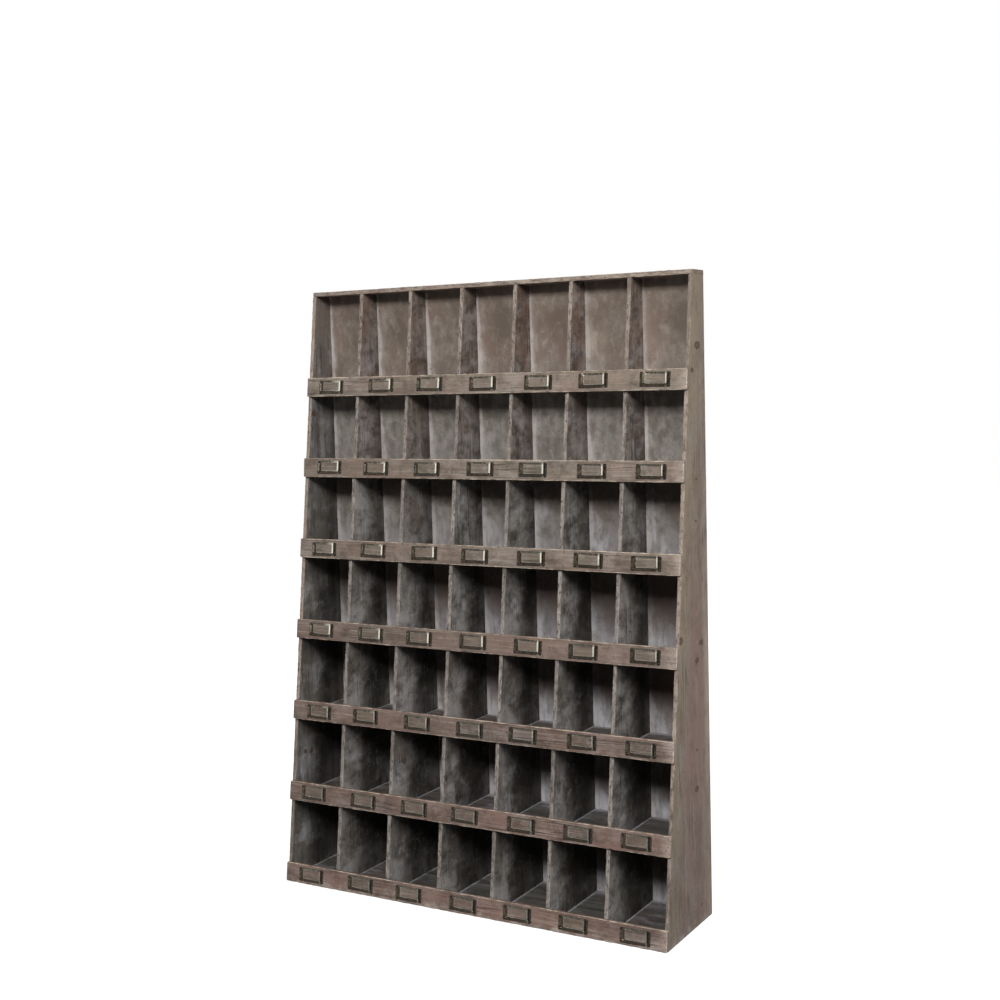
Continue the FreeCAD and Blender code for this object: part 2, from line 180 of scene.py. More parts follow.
class Finish:
    """Writes one procedural finish, node by node, on a piece's Object coordinates."""

    def __init__(self, name):
        self.material = bpy.data.materials.new(name)
        self.material.use_nodes = True
        self.tree = self.material.node_tree
        self.shader = self.tree.nodes["Principled BSDF"]
        self.place = self.node("TexCoord").outputs["Object"]
        self.colour = None

    def fill(self, socket, value):
        if isinstance(value, bpy.types.NodeSocket):
            self.tree.links.new(value, socket)
        elif value is not None:
            socket.default_value = value

    def set(self, quality, value):
        """Gives one of the shader's inputs a value, or what a node gives."""
        self.fill(self.shader.inputs[quality], value)

    def node(self, kind, *values, operation=None):
        """A new node, with the values of its inputs in their order."""
        node = self.tree.nodes.new("ShaderNode" + kind)
        if operation:
            node.operation = operation
        for socket, value in zip(node.inputs, values):
            self.fill(socket, value)
        return node

    def math(self, operation, *values):
        return self.node("Math", *values, operation=operation).outputs[0]

    def product(self, *parts):
        return functools.reduce(functools.partial(self.math, "MULTIPLY"), parts)

    def most(self, *parts):
        return functools.reduce(functools.partial(self.math, "MAXIMUM"), parts)

    def plus(self, base, extra, weight=1.0):
        return self.math("MULTIPLY_ADD", extra, weight, base)

    def vector(self, operation, *values):
        node = self.node("VectorMath", *values, operation=operation)
        return node.outputs["Value" if operation == "LENGTH" else "Vector"]

    def noise(
        self, per_metre, detail=3.0, roughness=0.55, shift=(0, 0, 0), at=None, colour=False,
    ):
        """Noise with so many features per metre along x, y and z."""
        mapping = self.node("Mapping", at or self.place, shift)
        mapping.inputs["Scale"].default_value = per_metre
        node = self.node("TexNoise", mapping.outputs[0])
        node.inputs["Scale"].default_value = 1.0
        node.inputs["Detail"].default_value = detail
        node.inputs["Roughness"].default_value = roughness
        return node.outputs["Color" if colour else "Fac"]

    def ramp(self, value, start, end, low=0.0, high=1.0):
        """A smooth step from one level of a value to another."""
        if start > end:
            start, end, low, high = end, start, high, low
        node = self.node("MapRange", value, start, end, low, high)
        node.interpolation_type = "SMOOTHSTEP"
        return node.outputs["Result"]

    def blend(self, share, under, over):
        node = self.node("Mix", share)
        node.data_type = "RGBA"
        self.fill(node.inputs[6], under)
        self.fill(node.inputs[7], over)
        return node.outputs[2]

    def lay(self, tone, *shares):
        """Lays a tone over the colour so far, as far as the product of the shares says."""
        self.colour = self.blend(self.product(*shares), self.colour, tone)

    def scaled(self, vector, factor):
        """A vector times a factor that varies over the surface."""
        return self.vector("SCALE", vector, None, None, factor)

    def line(self, noise, width):
        """1 along the thin lines where a noise passes through its middle value."""
        off_line = self.math("ABSOLUTE", self.math("SUBTRACT", noise, 0.5))
        return self.ramp(off_line, width, 0.25 * width)

    def axis(self, name):
        """Metres along one axis of the object."""
        return self.node("SeparateXYZ", self.place).outputs[name]

    def attribute(self, name):
        node = self.node("Attribute")
        node.attribute_name = name
        return node.outputs["Fac"]

    def relief(self, height, distance, strength=1.0):
        node = self.node("Bump")
        node.inputs["Distance"].default_value = distance
        node.inputs["Strength"].default_value = strength
        self.fill(node.inputs["Height"], height)
        self.set("Normal", node.outputs["Normal"])


def paint(red, green, blue):
    """A colour given as a paint chart gives it, in 0 to 255, for the shader."""
    return tuple(((part / 255 + 0.055) / 1.055) ** 2.4 for part in (red, green, blue)) + (1.0,)


def paints(**colours):
    """The colours of a board's wood, wash, dirt and rubbed edges; the dirt colour also paints
    shade deep in the cells.
    """
    return {part: paint(*colour) for part, colour in colours.items()}


def knotted(wood, grain, fibre_line, knots):
    """Bends the fibres round each knot, and gives the fibres and how dark the knots are."""
    ragged_edge = wood.noise((160, 160, 160), detail=2)
    knot_dark = None
    for x, y, z, reach_across, reach_along in knots:
        outward = wood.vector("SUBTRACT", wood.place, (x, y, z))
        reach = tuple(1 / (reach_along if g else reach_across) for g in grain)
        spread = wood.vector("MULTIPLY", outward, reach)
        distance = wood.vector("LENGTH", spread, (0, 0, 0))
        push = wood.vector("MULTIPLY", outward, tuple(1 - 0.9 * g for g in grain))
        pull = wood.ramp(distance, 0.4, 4.5, -0.85, 0.0)
        fibre_line = wood.vector("ADD", fibre_line, wood.scaled(push, pull))
        ragged = wood.plus(distance, ragged_edge, 0.8)
        heart = wood.product(wood.ramp(ragged, 1.7, 1.1), wood.ramp(distance, 0.1, 0.7, 0.7, 1.0))
        knot_dark = heart if knot_dark is None else wood.most(knot_dark, heart)
    return fibre_line, knot_dark


def washed_softwood(
    name, grain, tones, wash, grime, figure, knots=(), settled=None, painted_shade_at=None,
    second_tones=None, second_at=None, zones=(), cloudy=0.0, scuffs=0.0,
):
    """Old softwood under a thin wash: fibres, rings, knots, stains, milky smears and shakes.

    grain is the axis that the fibres follow. wash, grime and figure say how strongly the milky
    smears, the dirt and the growth rings show, cloudy how far the fibres are lost in blotches
    and scuffs how strongly the face is scratched. knots are places with their reach across and
    along the grain. settled gives, from the finish, where wash has gathered, the argument after
    it where shade is painted dark deep in the cells, and second_at where the second tones take
    over. Each of zones gives a share and a tone that lies over the bare wood.
    """
    wood = Finish(name)
    across = tuple(1 - part for part in grain)
    if second_at is not None:
        share = second_at(wood)
        tones = {key: wood.blend(share, tones[key], second_tones[key]) for key in tones}

    def stretched(across_per_metre, along_per_metre):
        return tuple(across_per_metre * a + along_per_metre * g for a, g in zip(across, grain))

    drift = wood.noise(stretched(9, 2.2), detail=1, colour=True)
    drift = wood.vector("SUBTRACT", drift, (0.5, 0.5, 0.5))
    bend = tuple(16 * MM * a for a in across)
    fibre_line = wood.vector("MULTIPLY_ADD", drift, bend, wood.place)
    if knots:
        fibre_line, knot_dark = knotted(wood, grain, fibre_line, knots)

    fibre = wood.noise(stretched(620, 16), detail=2, roughness=0.6, at=fibre_line)
    streak = wood.noise(stretched(240, 7), detail=3, roughness=0.6, at=fibre_line)
    broad = wood.noise(stretched(52, 2.2), detail=3, roughness=0.55, at=fibre_line)
    year = wood.noise(stretched(22, 1.3), detail=1, at=fibre_line, shift=(2.2, 0.7, 4.1))
    rings = wood.plus(0.5, wood.math("SINE", wood.product(year, 95.0)), 0.5)
    patch = wood.noise(stretched(11, 4), detail=2, roughness=0.5, shift=(3.1, 7.7, 1.3))
    tint = wood.noise(stretched(17, 3), detail=3, roughness=0.6, shift=(9.4, 2.2, 5.1))
    mottle = wood.noise(
        stretched(80 - 20 * cloudy, 40 + 15 * cloudy),
        detail=5, roughness=0.7, shift=(0.3, 5.2, 6.6),
    )

    blotch = wood.noise(stretched(13, 26), detail=5, roughness=0.62, shift=(6.1, 2.8, 3.7))
    fibrous = wood.plus(wood.product(mottle, 0.4), broad, 0.6 - 0.5 * cloudy)
    body_share = wood.plus(fibrous, blotch, 0.5 * cloudy)
    body_share = wood.ramp(body_share, 0.38 + 0.04 * cloudy, 0.6 - 0.04 * cloudy)
    wood.colour = wood.blend(body_share, tones["deep"], tones["body"])
    wood.lay(tones["warm"], wood.ramp(tint, 0.45, 0.66, 0, 0.85))
    for zone in zones:
        share, tone = zone(wood)
        wood.lay(tone, share)
    wood.lay(tones["deep"], wood.ramp(rings, 0.35, 1.0), 0.3 * figure)
    pale_line = wood.product(wood.ramp(streak, 0.55, 0.68), wood.ramp(broad, 0.3, 0.6, 0.3, 1.0))
    wood.lay(tones["pale"], pale_line, 0.75 * figure)
    dark_line = wood.product(wood.ramp(streak, 0.43, 0.3), wood.ramp(patch, 0.35, 0.6, 0.35, 1.0))
    wood.lay(tones["soil"], dark_line, 0.6 * figure)
    wood.lay(tones["deep"], wood.ramp(fibre, 0.5, 0.75, 0, 0.3 - 0.05 * cloudy))

    cloud = wood.noise(
        stretched(30 - 16 * cloudy, 13 + 10 * cloudy),
        detail=5, roughness=0.66, shift=(1.7, 4.2, 8.8),
    )
    spread = 0.07 * cloudy
    milky = wood.product(
        wood.ramp(cloud, 0.46 - spread, 0.68 - 0.4 * spread),
        wood.ramp(patch, 0.38 - spread, 0.62 - spread),
    )
    if settled is not None:
        gathered = wood.plus(settled(wood), cloud, 1.5)
        milky = wood.most(milky, wood.ramp(gathered, 0.95, 1.5))
    milky = wood.product(milky, wood.ramp(streak, 0.3, 0.55, 0.55 + 0.35 * cloudy, 1.0), wash)
    wood.lay(tones["milk"], milky)

    soil = wood.noise(
        stretched(34 - 20 * cloudy, 14 + 12 * cloudy),
        detail=5, roughness=0.7, shift=(6.3, 0.4, 2.9),
    )
    soil_share = wood.ramp(soil, 0.48 - 0.03 * cloudy, 0.72 - 0.1 * cloudy, 0, grime)
    # Painted shade deep in the cells and under the shelves, laid in the dark soil tone along with
    # the dirt.
    if painted_shade_at is not None:
        painted_shade = wood.product(painted_shade_at(wood), wood.ramp(soil, 0.36, 0.56, 0.72, 1.0))
        soil_share = wood.most(soil_share, painted_shade)
    wood.lay(tones["soil"], soil_share)
    if scuffs:
        scratch = wood.noise((34, 34, 22), detail=1.5, shift=(7.7, 3.3, 5.1))
        scratch = wood.product(wood.line(scratch, 0.012), wood.ramp(cloud, 0.42, 0.58))
        wood.lay(tones["pale"], scratch, scuffs)

    shake_line = wood.noise(stretched(120, 2.4), detail=2, shift=(4.4, 8.1, 0.6), at=fibre_line)
    shake = wood.product(wood.line(shake_line, 0.024), wood.ramp(patch, 0.5, 0.6))
    wood.lay(tones["soil"], shake, 0.7)

    if knots:
        wood.lay(paint(64, 46, 37), knot_dark, 0.88)
    speck = wood.ramp(wood.noise((170, 170, 170), detail=2, shift=(2.5, 2.5, 7.5)), 0.68, 0.73)
    wood.lay(tones["soil"], speck, 0.8)

    rubbed = wood.attribute("rubbed")
    chew = wood.noise(stretched(150, 45), detail=4, roughness=0.7, shift=(5.5, 1.5, 3.5))
    bare = wood.ramp(wood.plus(rubbed, chew, 1.1), 0.95, 1.45)
    bare_tone = wood.blend(wood.ramp(chew, 0.36, 0.62), tones["edge_deep"], tones["edge"])
    wood.lay(bare_tone, bare, wood.ramp(patch, 0.38, 0.58, 0.5, 0.9))
    pit = wood.noise(stretched(230, 90), detail=3, roughness=0.65, shift=(8.5, 6.5, 0.5))
    pits = wood.product(wood.ramp(pit, 0.57, 0.66), rubbed)
    wood.lay(tones["soil"], pits, 0.8)

    wood.set("Base Color", wood.colour)
    wood.set("Roughness", wood.ramp(wood.plus(streak, milky), 0.3, 1.2, 0.66, 0.9))
    wood.set("Specular IOR Level", WOOD_GLOSS)

    height = wood.plus(wood.product(rings, 0.2 * figure), fibre, 0.35)
    height = wood.plus(height, streak, 0.5)
    for hollow, depth in ((shake, -0.9), (speck, -0.8), (pits, -0.8)):
        height = wood.plus(height, hollow, depth)
    wood.relief(height, 0.9 * MM, 0.8)
    return wood


GRAIN_UPRIGHT = (0, 0, 1)
GRAIN_SIDEWAYS = (1, 0, 0)
UP = Vector((0, 0, 1))
SIDEWAYS = Vector((1, 0, 0))

SIDE_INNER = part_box("shelf_1")[1].x
OUTER = SIDE_HIGH.x
side_tones = paints(
    body=(140, 126, 113), deep=(120, 104, 95), warm=(132, 112, 102), pale=(160, 148, 133),
    milk=(152, 146, 141), soil=(66, 54, 47), edge=(152, 138, 126), edge_deep=(112, 97, 88),
)
inner_tones = paints(
    body=(106, 102, 97), deep=(70, 66, 62), warm=(88, 81, 75), pale=(128, 124, 118),
    milk=(142, 140, 143), soil=(26, 22, 19), edge=(150, 141, 132), edge_deep=(104, 95, 88),
)
side_knots = (
    (OUTER, 0.080, 1.242, 0.015, 0.008),
    (OUTER, 0.051, 1.190, 0.008, 0.005),
    (OUTER, 0.064, 0.961, 0.005, 0.003),
    (OUTER, 0.060, 0.873, 0.005, 0.003),
    (OUTER, -0.032, 0.632, 0.013, 0.008),
    (OUTER, 0.078, 0.611, 0.011, 0.006),
    (OUTER, 0.055, 0.576, 0.010, 0.006),
    (OUTER, 0.048, 0.384, 0.005, 0.003),
    (OUTER, 0.044, 0.300, 0.011, 0.007),
    (OUTER, 0.063, 0.041, 0.006, 0.003),
    (-SIDE_INNER, -0.047, 0.297, 0.007, 0.006),
    (-SIDE_INNER, -0.024, 0.293, 0.007, 0.006),
    (-SIDE_INNER, 0.034, 1.109, 0.008, 0.008),
)


def behind_front(wood):
    """Metres behind the raking front, along y."""
    back_from_foot = wood.math("SUBTRACT", wood.axis("Y"), SIDE_LOW.y)
    return wood.math("SUBTRACT", back_from_foot, wood.product(wood.axis("Z"), RAKE))


def towards_inside(wood):
    """1 on a side's inner face, 0 on its outer face and its front edge."""
    from_middle = wood.math("ABSOLUTE", wood.axis("X"))
    inside = wood.ramp(from_middle, SIDE_INNER + 2 * MM, SIDE_INNER - 2 * MM)
    return wood.product(inside, wood.ramp(wood.attribute("rubbed"), 0.5, 0.0))


SHELF_LOW, SHELF_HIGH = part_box("shelf_1")
SHELF_THICKNESS = SHELF_HIGH.z - SHELF_LOW.z
ROW_STEP = SHELF_LOW.z
ROWS = 7
BACK_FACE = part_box("back_panel")[0].y


def above_shelf(wood):
    """Metres above the shelf or base that a point stands over."""
    level = wood.axis("Z")
    row = wood.math("FLOOR", wood.math("DIVIDE", level, ROW_STEP))
    row = wood.math("MINIMUM", row, ROWS - 1)
    over = wood.math("SUBTRACT", level, wood.product(row, ROW_STEP))
    return wood.math("SUBTRACT", over, SHELF_THICKNESS)


def by_row(wood, start, end, low=0.0, high=1.0):
    """A smooth step between two heights, which are counted in rows of cells from the floor."""
    return wood.ramp(wood.axis("Z"), start * ROW_STEP, end * ROW_STEP, low, high)


def in_lower_rows(wood, elsewhere):
    """1 in the four lower rows of cells, which are the deep ones, and less in the others."""
    return by_row(wood, 4.15, 3.85, elsewhere, 1.0)


def deep_in_cells(wood):
    """Painted shadow on a cell's walls: far in, and up under the shelf above, where the lamps'
    light does not reach.
    """
    shade_wander = wood.noise((8, 8, 16), detail=5, roughness=0.62, shift=(5.2, 3.8, 1.4))
    behind = wood.plus(behind_front(wood), shade_wander, 0.16)
    behind = wood.math("SUBTRACT", behind, 0.08)
    behind = wood.plus(behind, by_row(wood, 2.15, 1.85, 0, 0.014))
    far_in = wood.ramp(behind, 0.045, 0.11, 0, 0.9)
    near_front = wood.ramp(behind, 0, 0.05, 0.35, 0.6)
    high = wood.product(wood.ramp(above_shelf(wood), 0.09, 0.16), near_front)
    painted_shade = wood.most(far_in, high)
    off_back = wood.ramp(wood.axis("Y"), BACK_FACE - 0.04, BACK_FACE, 1.0, 0.5)
    off_shelf = wood.ramp(above_shelf(wood), 0.02, 0.09, 0.55, 1.0)
    return wood.product(painted_shade, off_back, off_shelf, in_lower_rows(wood, 0.34))


def smudged(wood):
    """Pale finger smudges and spilt wash, low on a wall and in its outer half."""
    cloud = wood.noise((11, 11, 18), detail=5, roughness=0.6, shift=(8.4, 1.2, 6.9))
    brushed = wood.noise((110, 110, 13), detail=4, roughness=0.65, shift=(2.9, 7.3, 0.8))
    low = wood.ramp(above_shelf(wood), 0.16, 0.09)
    outer_half = wood.ramp(behind_front(wood), 0.15, 0.09)
    share = wood.product(
        wood.ramp(cloud, 0.5, 0.64), wood.ramp(brushed, 0.36, 0.6, 0.2, 1.0),
        low, outer_half, in_lower_rows(wood, 0.7), 0.72,
    )
    return share, paint(154, 152, 154)


# Painted shadow on a side's inner face, deep in the cells and under the shelves.
def painted_shade_inside(wood):
    return wood.product(deep_in_cells(wood), towards_inside(wood))


def smudged_inside(wood):
    share, tone = smudged(wood)
    return wood.product(share, towards_inside(wood)), tone


def in_top_row(wood):
    """1 in the top row, whose walls stand in the light and keep the brown of the wash."""
    return by_row(wood, 5.95, 6.05)


def kept_brown(wood):
    """How far the walls keep the wash's brown: wholly in the top row, half in the second."""
    return wood.most(in_top_row(wood), by_row(wood, 4.95, 5.05, 0, 0.5))


def warm_top_row(wood):
    share = wood.product(in_top_row(wood), towards_inside(wood), 0.6)
    return share, paint(112, 99, 88)


def outer_zone(wood, share):
    outside = wood.ramp(wood.axis("X"), OUTER - 3 * MM, OUTER - MM)
    wander = wood.noise((20, 20, 3), detail=3, roughness=0.6, shift=(3, 3, 8))
    return wood.product(outside, share, wood.ramp(wander, 0.3, 0.6, 0.35, 1.0))


def olive_front(wood):
    share = wood.ramp(behind_front(wood), 0.075, 0.030)
    return outer_zone(wood, share), paint(136, 124, 106)


def reddish_middle(wood):
    off_front = wood.ramp(behind_front(wood), 0.045, 0.08)
    share = wood.product(off_front, wood.ramp(wood.axis("Y"), 0.10, 0.06))
    return outer_zone(wood, share), paint(128, 106, 98)


def tan_rear(wood):
    by_height = wood.ramp(wood.axis("Z"), 1.1, 0.75, 0.15, 1.0)
    share = wood.product(wood.ramp(wood.axis("Y"), 0.085, 0.112), by_height)
    return outer_zone(wood, share), paint(172, 158, 140)


# Painted shade on the side's outer face, darker toward the floor.
def painted_shade_at_foot(wood):
    share = wood.ramp(wood.axis("Z"), 0.42, 0.05, 0, 0.5)
    return outer_zone(wood, share), paint(92, 78, 70)


def dirty_front_edge(wood):
    """Grime on the sides' front edges, low down and where a hand steadies the right side."""
    low = by_row(wood, 2.2, 1.7, 0, 0.85)
    held = wood.product(in_top_row(wood), wood.ramp(wood.axis("X"), 0, 0.1), 0.65)
    on_edge = wood.ramp(wood.attribute("rubbed"), 0.1, 0.4)
    return wood.product(wood.most(low, held), on_edge), paint(86, 76, 69)


def scuffed_foot(wood):
    scuffs = wood.noise((45, 45, 60), detail=4, roughness=0.7, shift=(0, 7, 2))
    low = wood.plus(wood.axis("Z"), scuffs, -0.10)
    return wood.ramp(low, -0.03, -0.06, 0, 0.7), paint(166, 156, 147)


side_wood = washed_softwood(
    "side_wood", GRAIN_UPRIGHT, side_tones, wash=0.45, grime=0.35, figure=0.6, knots=side_knots,
    second_tones=inner_tones, second_at=towards_inside,
    painted_shade_at=painted_shade_inside, scuffs=0.3, cloudy=0.35,
    zones=(
        olive_front, reddish_middle, tan_rear, painted_shade_at_foot, dirty_front_edge, scuffed_foot,
        warm_top_row, smudged_inside,
    ),
)


def on_rake(one, other):
    """Whether an edge, given by its ends, runs up the raking front."""
    off_rake = max(abs(behind_rake(one)), abs(behind_rake(other)))
    return off_rake < 0.2 * MM and abs(one.z - other.z) > abs(one.x - other.x)


def rake_planes(depth):
    """A point, in a list, on the plane that lies at a depth behind the raking front."""
    return [(0, SIDE_LOW.y + depth / math.cos(LEAN), 0)]


FRONT_REACH = 3.5 * MM
FOOT_REACH = 2.4 * MM
REAR_REACH = 1.2 * MM
KEPT_BY_GRIME = 0.42


def side_wear(place):
    """Rubbed along the front, less where grime keeps it, and a little at the foot and rear."""
    rows_up = place.z / ROW_STEP
    low = clamped(3 - rows_up / 0.75)
    held = clamped(4 * (rows_up - ROWS + 1)) if place.x > 0 else 0.0
    front = 1 - KEPT_BY_GRIME * max(low, held) - behind_rake(place) / FRONT_REACH
    foot = 1 - place.z / FOOT_REACH
    rear = 0.6 * (1 - (SIDE_HIGH.y - place.y) / REAR_REACH)
    return clamped(max(front, foot, rear))


for hand in ("left", "right"):
    side = copy_of_solid(f"{hand}_side_board", f"{hand}_side")
    bevel_edges(side, on_rake, width=1.1 * MM, segments=2)
    cross_cut(side, rake_planes(FRONT_REACH), ACROSS_RAKE)
    cross_cut(side, spaced(SIDE_LOW.z, SIDE_HIGH.z, UP), UP)
    rub_arrises(side, wear_and_light_of(side, side_wear), depth=0.9 * MM, knock_size=11 * MM)
    side.data.materials.append(side_wood.material)
    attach(side, "root")
    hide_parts(f"{hand}_side")


# ------------------------------------------------
# Base board and shelves
# Full-width softwood boards, grain sideways, housed in the sides and notched
# for the dividers. Dust and wash have settled pale along their joints.

COLUMNS = 7
FIRST_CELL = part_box("left_side")[1].x
CELL_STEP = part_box("divider_2")[0].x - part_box("divider_1")[0].x
CELL_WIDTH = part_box("divider_1")[0].x - FIRST_CELL


def from_cell_left(wood):
    """Metres to the right of a pigeonhole's left face."""
    from_first = wood.math("SUBTRACT", wood.axis("X"), FIRST_CELL)
    return wood.math("FLOORED_MODULO", from_first, CELL_STEP)


def along_shelf_joints(wood):
    left = from_cell_left(wood)
    at_left = wood.ramp(left, 0.010, 0.0)
    at_right = wood.ramp(left, CELL_WIDTH - 0.007, CELL_WIDTH, 0, 0.8)
    at_back = wood.ramp(wood.axis("Y"), BACK_FACE - 0.03, BACK_FACE)
    return wood.most(at_left, at_right, at_back)


shelf_tones = paints(
    body=(98, 95, 90), deep=(70, 67, 63), warm=(92, 79, 72), pale=(120, 117, 113),
    milk=(158, 156, 160), soil=(34, 29, 27), edge=(150, 140, 128), edge_deep=(112, 100, 90),
)
shelf_wood = washed_softwood(
    "shelf_wood", GRAIN_SIDEWAYS, shelf_tones, wash=0.8, grime=0.45, figure=0.6,
    settled=along_shelf_joints,
)


def dress_solid(node, finish):
    """Gives a node of the model its finish, and leaves its shape."""
    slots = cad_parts[node].data.materials
    slots.clear()
    slots.append(finish.material)


for crossboard in ["base_board"] + [f"shelf_{number}" for number in range(1, ROWS)]:
    dress_solid(crossboard, shelf_wood)


# ------------------------------------------------
# The six dividers
# Full-height softwood boards slotted over the shelves, grain upright. Their
# faces are washed grey; the front edges are rubbed to pale, pitted wood.

DIVIDER_LOW, DIVIDER_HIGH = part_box("divider_1")


def low_in_front(wood):
    """Where the wash has run down a wall and dried: low, and near the front."""
    behind = behind_front(wood)
    low = wood.ramp(above_shelf(wood), 0.15, 0.02)
    return wood.product(low, wood.ramp(behind, 0.12, 0.03), in_lower_rows(wood, 0.4), 0.7)


divider_tones = paints(
    body=(106, 101, 95), deep=(68, 64, 59), warm=(90, 79, 72), pale=(132, 128, 121),
    milk=(148, 144, 142), soil=(24, 20, 17), edge=(146, 137, 129), edge_deep=(90, 83, 77),
)
top_row_tones = paints(
    body=(106, 93, 83), deep=(72, 61, 54), warm=(100, 76, 66), pale=(132, 120, 110),
    milk=(142, 133, 128), soil=(38, 30, 25), edge=(150, 138, 128), edge_deep=(98, 86, 78),
)
divider_wood = washed_softwood(
    "divider_wood", GRAIN_UPRIGHT, divider_tones, wash=0.75, grime=0.5, figure=0.75,
    settled=low_in_front, painted_shade_at=deep_in_cells, cloudy=0.9, scuffs=0.5, zones=(smudged,),
    second_tones=top_row_tones, second_at=kept_brown,
)


def divider_wear(place):
    return clamped(1 - behind_rake(place) / FRONT_REACH)


pattern = copy_of_solid("divider_pattern", "divider_1")
bevel_edges(pattern, on_rake, width=1.2 * MM, segments=3)
cross_cut(pattern, rake_planes(FRONT_REACH), ACROSS_RAKE)
cross_cut(pattern, spaced(DIVIDER_LOW.z, DIVIDER_HIGH.z, UP), UP)
for number in range(1, COLUMNS):
    divider = new_piece(f"divider_board_{number}", pattern.data.copy())
    divider.location.x = (number - 1) * CELL_STEP
    apply_placing()
    rub_arrises(divider, wear_and_light_of(divider, divider_wear), depth=0.9 * MM, knock_size=9 * MM)
    divider.data.materials.append(divider_wood.material)
    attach(divider, "root")
    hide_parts(f"divider_{number}")
bpy.data.objects.remove(pattern)


# ------------------------------------------------
# Back panel
# One thin sheet nailed into the sides' rebates. The wash was brushed on it
# cell by cell, so it has dried milky in the corners, and it is scratched. Its
# face also carries painted shadow under each shelf and painted light up the
# left side of each cell. The rear, which stands to a wall, was left bare and
# has browned.

panel = Finish("back_wood")
over_shelf = above_shelf(panel)
cell_left = from_cell_left(panel)

large = panel.noise((16, 16, 11), detail=4, roughness=0.6, shift=(2.7, 1.1, 5.3))
middling = panel.noise((55, 55, 42), detail=4, roughness=0.68, shift=(7.1, 3.9, 0.4))
specks = panel.noise((330, 330, 220), detail=3, roughness=0.6)
tone_share = panel.plus(panel.product(middling, 0.45), large, 0.55)
top_row = in_top_row(panel)
panel.colour = panel.blend(
    panel.ramp(tone_share, 0.4, 0.6),
    panel.blend(top_row, paint(100, 94, 87), paint(108, 96, 86)),
    panel.blend(top_row, paint(138, 134, 126), paint(130, 118, 107)),
)
reddened = panel.noise((10, 10, 7), detail=2, shift=(5, 0, 9))
reddened = panel.product(panel.ramp(reddened, 0.5, 0.66), panel.ramp(top_row, 0, 1, 0.25, 0.6))
panel.lay(paint(118, 99, 89), reddened)
panel.lay(paint(92, 82, 74), panel.ramp(specks, 0.5, 0.7, 0, 0.35))

edge_wander = panel.noise((24, 24, 12), detail=4, roughness=0.65, shift=(4.5, 8.5, 1.5))
left_reach = panel.plus(cell_left, edge_wander, -0.05)
left_reach = panel.plus(left_reach, over_shelf, 0.08)
top_right = panel.product(top_row, panel.ramp(panel.axis("X"), -0.05, 0.2))
worn_off = panel.plus(1.0, top_right, -0.6)
# A pale band up the left side of each cell's back: milky wash, and painted light where the lamps
# at the right reach past the dividers.
left_band_of_wash_and_light = panel.product(
    panel.ramp(left_reach, 0.005, -0.014),
    panel.most(top_row, panel.ramp(over_shelf, 0.13, 0.05, 0.3, 1.0)),
    worn_off,
)
corner_reach = panel.plus(cell_left, over_shelf, 0.03)
corner_reach = panel.plus(corner_reach, edge_wander, -0.02)
corner_line = panel.product(
    panel.ramp(corner_reach, 0.004, -0.002),
    panel.ramp(middling, 0.35, 0.55, 0.3, 0.85),
    worn_off,
)
low_reach = panel.plus(over_shelf, edge_wander, -0.16)
low_band = panel.ramp(low_reach, 0.045, -0.045)
upper_rows = by_row(panel, 3.5, 6.2)
low_share = panel.plus(1.0, upper_rows, -0.8)
milky = panel.most(left_band_of_wash_and_light, panel.product(low_band, low_share))
brushed = panel.noise((100, 100, 13), detail=4, roughness=0.66, shift=(6.6, 2.2, 9.9))
milky = panel.product(
    milky,
    panel.ramp(middling, 0.3, 0.6, 0.55, 1.0),
    panel.ramp(brushed, 0.34, 0.58, 0.6, 1.12),
)
wisps = panel.product(panel.ramp(middling, 0.5, 0.66), panel.ramp(large, 0.45, 0.6))
milky = panel.most(milky, panel.product(wisps, 0.65))
# Milky wash, which in the left band is also painted light.
milk_tone = panel.blend(upper_rows, paint(144, 140, 143), paint(152, 143, 137))
panel.lay(milk_tone, milky, 0.8)
panel.lay(paint(172, 165, 160), corner_line)
smear_reach = panel.plus(cell_left, over_shelf, 0.2)
smear_reach = panel.plus(smear_reach, edge_wander, -0.14)
smear = panel.product(
    panel.ramp(smear_reach, -0.01, -0.035),
    panel.ramp(large, 0.42, 0.58, 0.05, 0.75),
    panel.ramp(brushed, 0.38, 0.56, 0.35, 1.3),
    by_row(panel, 4.4, 6.2, 1.0, 0.3),
    panel.ramp(panel.axis("X"), -0.2, 0.12, 0.35, 1.0),
)
smear_tone = panel.blend(upper_rows, paint(172, 171, 175), paint(170, 163, 158))
panel.lay(smear_tone, smear)

scratch_field = panel.noise((13, 13, 9), detail=1.5, shift=(3.3, 6.1, 2.4))
second_field = panel.noise((21, 21, 30), detail=1, shift=(8.3, 0.1, 6.4))
scratches = panel.most(panel.line(scratch_field, 0.008), panel.line(second_field, 0.006))
scratches = panel.product(scratches, panel.ramp(middling, 0.42, 0.6))
panel.lay(paint(168, 160, 150), scratches, 0.3)
# Painted shadow at the top of each cell's back, under the shelf above: deeper in the lower rows
# and faint in the top row.
shade_reach_top = panel.plus(over_shelf, edge_wander, 0.07)
shade_reach_top = panel.plus(shade_reach_top, cell_left, 0.25)
shade_reach_top = panel.plus(shade_reach_top, by_row(panel, 4.8, 3.9, 0, 0.078))
painted_shade = panel.product(panel.ramp(shade_reach_top, 0.12, 0.21), by_row(panel, 5.9, 5.0, 0.25, 0.82))
panel.lay(paint(60, 47, 41), painted_shade)
stain = panel.noise((70, 70, 60), detail=4, roughness=0.7, shift=(1, 9, 4))
stain = panel.ramp(stain, 0.62, 0.7)
panel.lay(paint(66, 56, 50), stain, 0.5)

